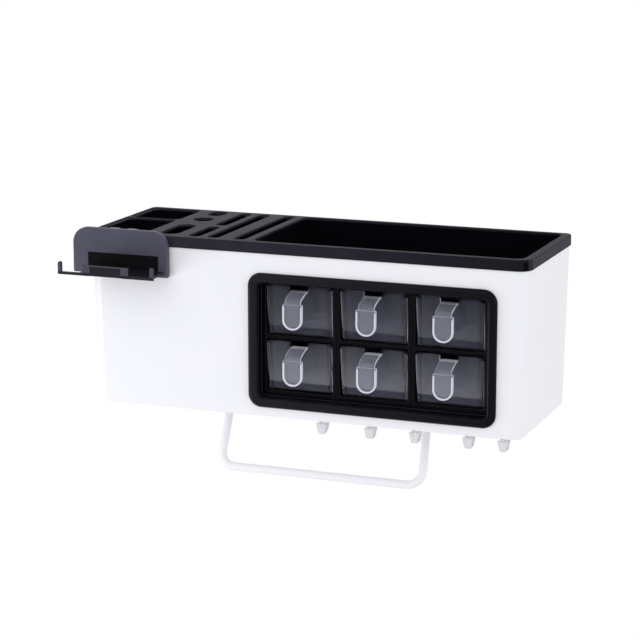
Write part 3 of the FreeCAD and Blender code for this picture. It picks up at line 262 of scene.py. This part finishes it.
class Finish:
    """The nodes of a new material or world, with one way to add to them."""

    def __init__(self, owner):
        owner.use_nodes = True
        self.owner = owner
        self.tree = owner.node_tree
        self.tree.nodes.clear()

    def node(self, kind, settings=None, sockets=None, output=0):
        """Add a node; settings come first, then values or links of its sockets. Returns one output."""
        made = self.tree.nodes.new(kind)
        for key, value in (settings or {}).items():
            if key == "stops":
                for element, (place, tone) in zip(made.color_ramp.elements, value):
                    element.position = place
                    element.color = tone
            else:
                setattr(made, key, value)
        for key, value in (sockets or {}).items():
            if isinstance(value, Signal):
                self.tree.links.new(value.socket, made.inputs[key])
            else:
                target = made.inputs[key]
                wide = target.type == "RGBA" and len(value) == 3
                target.default_value = (*value, 1.0) if wide else value
        return Signal(self, made.outputs[output]) if made.outputs else None

    def math(self, operation, first, second=0.0):
        """One Math node."""
        return self.node("ShaderNodeMath", {"operation": operation}, {0: first, 1: second})

    def place(self):
        """Position on the object, in metres."""
        return self.node("ShaderNodeTexCoord", output="Object")

    def normal(self):
        """The direction that the surface faces."""
        return self.node("ShaderNodeNewGeometry", output="Normal")

    def rounded(self, radius, samples=4):
        """The direction that the surface would face if its edges had a radius."""
        return self.node("ShaderNodeBevel", {"samples": samples}, {"Radius": radius})

    def noise(self, spacing, detail=2.0, stretch=None):
        """Soft noise whose blotches are about spacing metres apart."""
        where = self.place()
        if stretch is not None:
            where = self.node("ShaderNodeMapping", None, {"Vector": where, "Scale": stretch})
        sockets = {"Vector": where, "Scale": 1.0 / spacing, "Detail": detail}
        return self.node("ShaderNodeTexNoise", None, sockets)

    def edges(self, radius):
        """1 along sharp edges, 0 on open faces."""
        pair = {0: self.rounded(radius), 1: self.normal()}
        alike = self.node("ShaderNodeVectorMath", {"operation": "DOT_PRODUCT"}, pair, "Value")
        stops = [(EDGE_FULL, WHITE_STOP), (EDGE_NONE, BLACK_STOP)]
        return self.node("ShaderNodeValToRGB", {"stops": stops}, {"Fac": alike})

    def along(self, vector, axis):
        """One component of a vector."""
        return self.node("ShaderNodeSeparateXYZ", None, {0: vector}, axis)

    def ahead_of(self, place):
        """1 in front of a place along Y, and 0 behind it."""
        return self.along(self.place(), "Y") < place

    def bump(self, height, depth, normal=None):
        """A bump of the given depth in metres."""
        sockets = {"Height": height, "Distance": depth, "Strength": 1.0}
        if normal is not None:
            sockets["Normal"] = normal
        return self.node("ShaderNodeBump", None, sockets)

    def surface(self, sockets):
        """A Principled BSDF."""
        return self.node("ShaderNodeBsdfPrincipled", None, sockets)

    def finish(self, shader, output="ShaderNodeOutputMaterial"):
        """Close the material or world with a shader."""
        self.node(output, None, {"Surface": shader})
        return self.owner


def new_finish(name):
    """A new material to be filled with nodes."""
    return Finish(bpy.data.materials.new(name))


def toned(base, factor):
    """A colour made darker or lighter."""
    return tuple(min(1.0, channel * factor) for channel in base)


def between(lowest, highest, amount):
    """A number that is lowest where amount is 0 and highest where it is 1."""
    return lowest + (highest - lowest) * amount


def mottled(cloud, base, darkest, lightest):
    """A colour that drifts between two tones of itself."""
    return cloud.mix(toned(base, darkest), toned(base, lightest))


# ---------------------------------------------------------------- finishes

def glossy_white(name, base, roughness, coat):
    """Smooth white plastic with slow ripples and a faint cool drift."""
    surface = bpy.context.scene.caddy_finish
    made = new_finish(name)
    drift = made.noise(surface.ripple * WHITE_DRIFT)
    ripple = made.noise(surface.ripple)
    cool = tuple(channel * factor for channel, factor in zip(base, COOL_DRIFT))
    return made.finish(made.surface({
        "Base Color": drift.mix(cool, toned(base, WHITE_LIFT)),
        "Roughness": between(*roughness, ripple),
        "Normal": made.bump(ripple, WHITE_DEPTH, made.rounded(surface.edge_round)),
        "IOR": 1.5, "Specular IOR Level": 0.4, "Coat Weight": coat, "Coat Roughness": 0.1,
    }))


def moulded_black(name, base, roughness, gloss, grain_depth, tone):
    """Black plastic with a fine moulded grain, edges paler from wear and a painted highlight, a slow drift in
    its tone, and painted shade where the tone mask falls.
    """
    surface = bpy.context.scene.caddy_finish
    made = new_finish(name)
    cloud = made.noise(BLACK_CLOUD)
    grain = made.noise(surface.grain, detail=3.0)
    scuffs = made.noise(BLACK_SCUFF, detail=4.0)
    # Paler edges: partly wear with scuffs, partly a painted highlight
    worn_and_highlit = made.edges(surface.edge_round * WEAR_AND_HIGHLIGHT_REACH) * scuffs * surface.wear_and_highlight
    # Painted shade: where the tone mask gives 0 the colour falls to SHADE of the black, where it gives 1 the
    # black keeps its mottled colour
    body = tone(made).mix(toned(base, SHADE), mottled(cloud, base, darkest=0.85, lightest=1.2))
    ior, level = gloss
    return made.finish(made.surface({
        "Base Color": worn_and_highlit.mix(body, WORN_AND_HIGHLIT_BLACK),
        "Roughness": between(*roughness, cloud) + WEAR_ROUGHNESS * worn_and_highlit,
        "Normal": made.bump(grain, grain_depth, made.rounded(surface.edge_round)),
        "IOR": ior, "Specular IOR Level": level, "Specular Tint": COOL_GLOSS,
    }))


def clear_plastic(name, tint, roughness, haze_and_painted_light):
    """Clear moulded plastic mixed towards a pale surface where it is hazy and where painted light and painted
    highlights are given.
    """
    surface = bpy.context.scene.caddy_finish
    made = new_finish(name)
    cloud = made.noise(CLEAR_CLOUD, detail=3.0)
    rounded = made.rounded(surface.edge_round * CLEAR_ROUND, samples=6)
    normal = made.bump(made.noise(surface.ripple * CLEAR_RIPPLE), CLEAR_DEPTH, rounded)
    clear = made.surface({
        "Base Color": mottled(cloud, tint, darkest=0.96, lightest=1.0),
        "Roughness": between(*roughness, cloud),
        "Normal": normal,
        "IOR": 1.3, "Transmission Weight": 1.0, "Specular Tint": BLUE_GLOSS,
    })
    # Pale surface mixed in for the haze and for painted light and painted highlights
    haze_and_highlight_shader = made.surface({
        "Base Color": mottled(cloud, tint, darkest=0.98, lightest=1.06),
        "Roughness": 0.18, "Normal": normal, "Specular IOR Level": 0.5,
    })
    amount = haze_and_painted_light(made).at_most(1.0)
    return made.finish(made.node("ShaderNodeMixShader", None, {0: amount, 1: clear, 2: haze_and_highlight_shader}))


def drawer_haze_and_painted_light(node, row_haze_and_painted_light):
    """Haze all through a drawer, painted light on its front that grows towards the bottom, and a painted
    highlight along its left edge.
    """
    low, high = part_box(node)

    def haze_and_painted_light(made):
        facing = made.normal()
        flat = abs(made.along(facing, "Y")) ** FRONT_FOCUS
        left = (0.0 - made.along(facing, "X")).at_least(0.0) ** LEFT_FOCUS
        depth = (high.z - made.along(made.place(), "Z")) * (1.0 / (high.z - low.z))
        front = made.ahead_of(low.y + DRAWER_RIM)
        # Painted light: the front paler towards the bottom; painted highlight: along the left edge
        return row_haze_and_painted_light * (INNER_HAZE + front * flat * depth) + LEFT_PAINTED_HIGHLIGHT * front * left
    return haze_and_painted_light


def spoon_haze_and_painted_highlight(node):
    """Haze in a spoon's tongue, and painted highlights on the tongue's raised edge and the sides of the neck.
    """
    low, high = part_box(node)

    def haze_and_painted_light(made):
        side = (1.0 - abs(made.along(made.normal(), "Y"))) ** SIDE_FOCUS
        below = made.along(made.place(), "Z") < high.z - TONGUE_DROP
        tongue = made.ahead_of(low.y + TONGUE_DEPTH)
        rim = made.ahead_of(low.y + RIM_DEPTH) * below
        outside = made.ahead_of(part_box("drawer_1")[0].y + SPOON_RIM)
        # Painted highlights: the neck's sides and the tongue's raised edge
        return SPOON_HAZE * (INNER_HAZE + tongue) + outside * side + RIM_PAINTED_HIGHLIGHT * rim
    return haze_and_painted_light


def milky_plastic(name, tint):
    """Half see-through white plastic."""
    surface = bpy.context.scene.caddy_finish
    made = new_finish(name)
    cloud = made.noise(HOOK_CLOUD)
    ripple = made.noise(surface.ripple * HOOK_RIPPLE)
    return made.finish(made.surface({
        "Base Color": mottled(cloud, tint, darkest=0.95, lightest=1.0),
        "Roughness": between(*HOOK_ROUGHNESS, cloud),
        "Normal": made.bump(ripple, HOOK_DEPTH, made.rounded(surface.edge_round, samples=6)),
        "IOR": 1.4, "Transmission Weight": 0.25, "Specular IOR Level": 0.3,
    }))


def foam(name, base, cell):
    """Closed-cell foam with a pitted skin."""
    made = new_finish(name)
    cells = made.node("ShaderNodeTexVoronoi", None, {"Vector": made.place(), "Scale": 1.0 / cell}, "Distance")
    return made.finish(made.surface({
        "Base Color": mottled(made.noise(cell * FOAM_CLOUD), base, darkest=0.8, lightest=1.15),
        "Roughness": between(*FOAM_ROUGHNESS, cells),
        "Normal": made.bump(cells, cell * FOAM_PIT_DEPTH),
        "IOR": 1.4, "Specular IOR Level": 0.1,
    }))


def turned_steel(name, base):
    """Plain steel with fine turning marks."""
    made = new_finish(name)
    marks = made.noise(STEEL_MARK, stretch=STEEL_STRETCH)
    return made.finish(made.surface({
        "Base Color": mottled(marks, base, darkest=0.85, lightest=1.1),
        "Roughness": between(*STEEL_ROUGHNESS, marks),
        "Metallic": 1.0,
        "Normal": made.bump(marks, STEEL_DEPTH),
    }))


def holder_painted_shade(made):
    """Painted light and shade on the phone holder: 1 on its plate, most of that on the face of its lip, and 0
    (painted shade) on the ledge and bars.
    """
    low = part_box("phone_pad")[0]
    plate = 1.0 - made.ahead_of(low.y - PLATE_MARGIN)
    face = made.ahead_of(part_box("phone_holder")[0].y + PLATE_MARGIN)
    raised = made.along(made.place(), "Z") > low.z + PLATE_MARGIN
    return plate + face * raised * LIP_PAINTED_LIGHT


def towards_left(made, node):
    """1 at a piece's left end, falling to 0 at its right end."""
    low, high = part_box(node)
    return (high.x - made.along(made.place(), "X")) * (1.0 / (high.x - low.x))


def tray_painted_shade(made):
    """Painted light and shade on the tray: 1 on the rim's sides, less on its front and top towards the right,
    and 0 (painted shade) inside the bin and cups.
    """
    low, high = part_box("top_tray")
    top = made.along(made.place(), "Z") > high.z - RIM_MARGIN
    sides = abs(made.along(made.place(), "X")) > high.x - RIM_MARGIN
    outside = made.ahead_of(low.y + RIM_MARGIN).at_least(top)
    return sides.at_least(outside * between(RIM_RIGHT_PAINTED_LIGHT, 1.0, towards_left(made, "top_tray")))


def cabinet_painted_shade(made):
    """Painted light and shade on the cabinet: 1 at the left of the frame round the drawers, less towards the
    right, and 0 (painted shade) in the cells.
    """
    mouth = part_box("drawer_cabinet")[0].y + FRAME_DEPTH
    return made.ahead_of(mouth) * between(FRAME_RIGHT_PAINTED_LIGHT, 1.0, towards_left(made, "drawer_cabinet"))


def give(node, material):
    """Put a finish on a piece of the caddy."""
    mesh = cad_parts[node].data
    mesh.materials.clear()
    mesh.materials.append(material)


# ---------------------------------------------------------------- operators

class CADDY_OT_shell(bpy.types.Operator):
    """Finish the white shell and the towel rail"""

    bl_idname = "caddy.shell"
    bl_label = "Shell and Rail"

    def execute(self, context):
        colours = context.scene.caddy_colours
        give("shell_body", glossy_white("shell_white", colours.shell, SHELL_ROUGHNESS, coat=0.1))
        give("towel_rail", glossy_white("rail_white", colours.rail, RAIL_ROUGHNESS, coat=0.0))
        return {"FINISHED"}


class CADDY_OT_blacks(bpy.types.Operator):
    """Finish the black tray, cabinet and phone holder"""

    bl_idname = "caddy.blacks"
    bl_label = "Tray, Cabinet and Phone Holder"

    def execute(self, context):
        colours = context.scene.caddy_colours
        # The tray, cabinet and holder each get their mask of painted light and painted shade
        tray = moulded_black("tray_black", colours.tray, TRAY_ROUGHNESS, SOFT_GLOSS,
                             TRAY_GRAIN_DEPTH, tray_painted_shade)
        cabinet = moulded_black("cabinet_black", colours.cabinet, CABINET_ROUGHNESS, DEEP_GLOSS,
                                CABINET_GRAIN_DEPTH, cabinet_painted_shade)
        holder = moulded_black("holder_black", colours.holder, HOLDER_ROUGHNESS, SATIN_GLOSS,
                               HOLDER_GRAIN_DEPTH, holder_painted_shade)
        give("top_tray", tray)
        give("drawer_cabinet", cabinet)
        give("cabinet_back", cabinet)
        give("phone_holder", holder)
        give("phone_pad", foam("pad_foam", colours.pad, PAD_CELL))
        return {"FINISHED"}


class CADDY_OT_drawers(bpy.types.Operator):
    """Finish the clear drawers and their spoons"""

    bl_idname = "caddy.drawers"
    bl_label = "Drawers and Spoons"

    def execute(self, context):
        tint = context.scene.caddy_colours.clear
        # Each row has its own drawer finish; the lower row's carries more haze and painted light
        for row, numbers in DRAWER_ROWS.items():
            first = numbers[0]
            box = clear_plastic(f"drawer_clear_{row}", tint, DRAWER_ROUGHNESS,
                                drawer_haze_and_painted_light(f"drawer_{first}", DRAWER_HAZE_AND_PAINTED_LIGHT[row]))
            spoon = clear_plastic(f"spoon_clear_{row}", tint, SPOON_ROUGHNESS,
                                  spoon_haze_and_painted_highlight(f"spoon_{first}"))
            for number in numbers:
                give(f"drawer_{number}", box)
                give(f"spoon_{number}", spoon)
        return {"FINISHED"}


class CADDY_OT_hooks(bpy.types.Operator):
    """Finish the milky hooks"""

    bl_idname = "caddy.hooks"
    bl_label = "Hooks"

    def execute(self, context):
        milky = milky_plastic("hook_milky", context.scene.caddy_colours.hook)
        for number in range(1, HOOK_COUNT + 1):
            give(f"hook_{number}", milky)
        return {"FINISHED"}


class CADDY_OT_back(bpy.types.Operator):
    """Finish the wall plates, their adhesive pads and the cabinet's screws"""

    bl_idname = "caddy.back"
    bl_label = "Wall Plates and Screws"

    def execute(self, context):
        colours = context.scene.caddy_colours
        plate = glossy_white("plate_white", colours.rail, PLATE_ROUGHNESS, coat=0.0)
        pad = foam("adhesive_foam", colours.foam, ADHESIVE_CELL)
        for side in ("left", "right"):
            give(f"wall_plate_{side}", plate)
            give(f"adhesive_pad_{side}", pad)
        give("cabinet_screws", turned_steel("screw_steel", colours.steel))
        return {"FINISHED"}


class CADDY_OT_stage(bpy.types.Operator):
    """Set up the floor, the soft light and the camera"""

    bl_idname = "caddy.stage"
    bl_label = "Studio"

    def execute(self, context):
        stage = context.scene.caddy_stage
        make_floor(stage)
        make_world(stage)
        for name, place, width, power in SOFTBOXES:
            add_softbox(name, place, width, power)
        add_camera()
        context.scene.view_settings.view_transform = "Standard"
        return {"FINISHED"}


def seen_or_lit(finish, background, lit):
    """The plain background to the eye, in gloss and through clear plastic, and a lit surface otherwise."""
    seen = sum(finish.node("ShaderNodeLightPath", output=name) for name in BACKGROUND_RAYS)
    return finish.node("ShaderNodeMixShader", None, {0: seen.at_most(1.0), 1: lit, 2: background})


def make_floor(stage):
    """A wide pale floor far below the hanging caddy."""
    mesh = bpy.data.meshes.new("floor")
    form = bmesh.new()
    bmesh.ops.create_grid(form, x_segments=FLOOR_CELLS, y_segments=FLOOR_CELLS, size=FLOOR_SIZE)
    form.to_mesh(mesh)
    form.free()
    floor = bpy.data.objects.new("floor", mesh)
    floor.location = (0.0, 0.0, -stage.floor_drop)
    bpy.context.scene.collection.objects.link(floor)
    paint = new_finish("floor_paint")
    lit = paint.node("ShaderNodeBsdfDiffuse", None, {"Color": toned(stage.background, FLOOR_TONE)})
    glow = paint.node("ShaderNodeEmission", None, {"Color": tuple(stage.background), "Strength": 1.0})
    mesh.materials.append(paint.finish(seen_or_lit(paint, glow, lit)))


def make_world(stage):
    """An even pale surround, white to the eye and dimmer as a light."""
    sky = Finish(bpy.data.worlds.new("studio"))
    glow = sky.node("ShaderNodeBackground", None, {"Color": tuple(stage.background), "Strength": 1.0})
    dim = sky.node("ShaderNodeBackground", None, {"Color": tuple(stage.background), "Strength": stage.light})
    bpy.context.scene.world = sky.finish(seen_or_lit(sky, glow, dim), "ShaderNodeOutputWorld")


def add_softbox(name, place, width, power):
    """A square softbox aimed at the caddy."""
    lamp = bpy.data.lights.new(name, "AREA")
    lamp.shape = "SQUARE"
    lamp.size = width
    lamp.energy = power
    softbox = bpy.data.objects.new(name, lamp)
    softbox.location = place
    softbox.rotation_euler = (Vector(place) - Vector(SOFTBOX_TARGET)).to_track_quat("Z", "Y").to_euler()
    bpy.context.scene.collection.objects.link(softbox)


def add_camera():
    """A long lens, a little above the caddy and to its right."""
    turn = math.radians(CAMERA_TURN)
    rise = math.radians(CAMERA_RISE)
    back = Vector((math.sin(turn) * math.cos(rise), -math.cos(turn) * math.cos(rise), math.sin(rise)))
    right = Vector((math.cos(turn), math.sin(turn), 0.0))
    up = back.cross(right)
    place = Vector(CAMERA_TARGET) + back * CAMERA_DISTANCE - right * CAMERA_LEFT - up * CAMERA_DOWN
    data = bpy.data.cameras.new("camera")
    data.sensor_width = SENSOR_WIDTH
    data.lens = LENS
    camera = bpy.data.objects.new("camera", data)
    camera.matrix_world = Matrix.Translation(place) @ Matrix((right, up, back)).transposed().to_4x4()
    bpy.context.scene.collection.objects.link(camera)
    bpy.context.scene.camera = camera


class CADDY_PT_panel(bpy.types.Panel):
    """Sizes, colours and steps of the caddy"""

    bl_idname = "CADDY_PT_panel"
    bl_label = "Kitchen Caddy"
    bl_space_type = "VIEW_3D"
    bl_region_type = "UI"
    bl_category = "Caddy"

    def draw(self, context):
        for name, group in GROUPS.items():
            for key in group.__annotations__:
                self.layout.prop(getattr(context.scene, name), key)
        for operator in OPERATORS:
            self.layout.operator(operator.bl_idname)


GROUPS = {"caddy_colours": CaddyColours, "caddy_finish": CaddyFinish, "caddy_stage": CaddyStage}
OPERATORS = (CADDY_OT_shell, CADDY_OT_blacks, CADDY_OT_drawers, CADDY_OT_hooks, CADDY_OT_back, CADDY_OT_stage)


def register():
    """Make the properties, operators and panel known to Blender."""
    for name, group in GROUPS.items():
        bpy.utils.register_class(group)
        setattr(bpy.types.Scene, name, PointerProperty(type=group))
    for operator in (*OPERATORS, CADDY_PT_panel):
        bpy.utils.register_class(operator)


def unregister():
    """Take them out again."""
    for operator in (*OPERATORS, CADDY_PT_panel):
        bpy.utils.unregister_class(operator)
    for name, group in GROUPS.items():
        delattr(bpy.types.Scene, name)
        bpy.utils.unregister_class(group)


def main():
    """Dress the whole caddy."""
    register()
    for operator in OPERATORS:
        prefix, name = operator.bl_idname.split(".")
        getattr(getattr(bpy.ops, prefix), name)()


if __name__ == "__main__":
    main()
